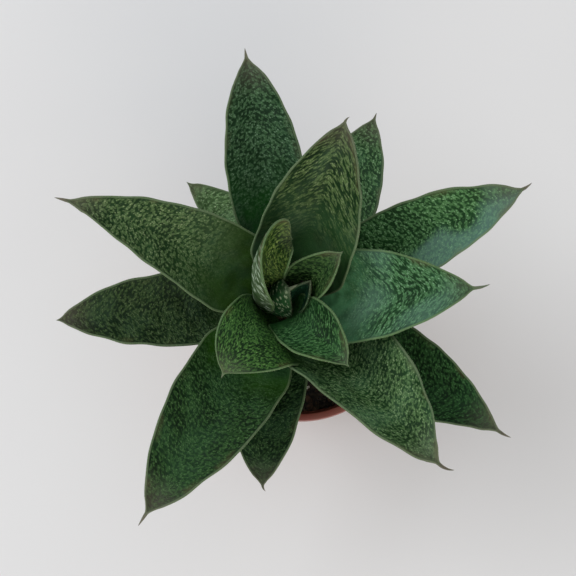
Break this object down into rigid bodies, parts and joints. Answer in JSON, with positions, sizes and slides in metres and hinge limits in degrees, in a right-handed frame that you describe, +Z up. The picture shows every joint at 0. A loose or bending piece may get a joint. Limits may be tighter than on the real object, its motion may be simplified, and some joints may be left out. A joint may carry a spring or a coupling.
{
  "type": "potted gasteraloe",
  "caption": "Rosette succulent with pointed, channelled, spotted green leaves on a short stem, standing in the soil of a tapered plastic nursery pot.",
  "frame": {"origin": "middle of the pot's base, on the surface it stands on", "axes": "+Z up; +Y towards the top of the picture, which looks down on the plant; +X to its right"},
  "size_m": [0.1959, 0.1946, 0.1411],
  "materials": {
    "pot": "brownish red, satin, slightly dusty",
    "soil": "dark, moist, crumbly",
    "stem": "pale brownish green, matt",
    "old_leaf": "dark green with dense pale raised dots, satin",
    "young_leaf": "pale green with short dark dashes, satin"
  },
  "bodies": {
    "root": {"pot": "pot", "soil": "soil", "stem": "stem", "leaf_01": "old_leaf", "leaf_02": "old_leaf", "leaf_03": "old_leaf", "leaf_04": "old_leaf", "leaf_05": "old_leaf", "leaf_06": "old_leaf", "leaf_07": "old_leaf", "leaf_08": "young_leaf", "leaf_09": "old_leaf", "leaf_10": "old_leaf", "leaf_11": "old_leaf", "leaf_12": "old_leaf", "leaf_13": "young_leaf", "leaf_14": "young_leaf", "leaf_15": "young_leaf", "leaf_16": "young_leaf", "leaf_17": "young_leaf", "leaf_18": "young_leaf"}
  },
  "joints": []
}
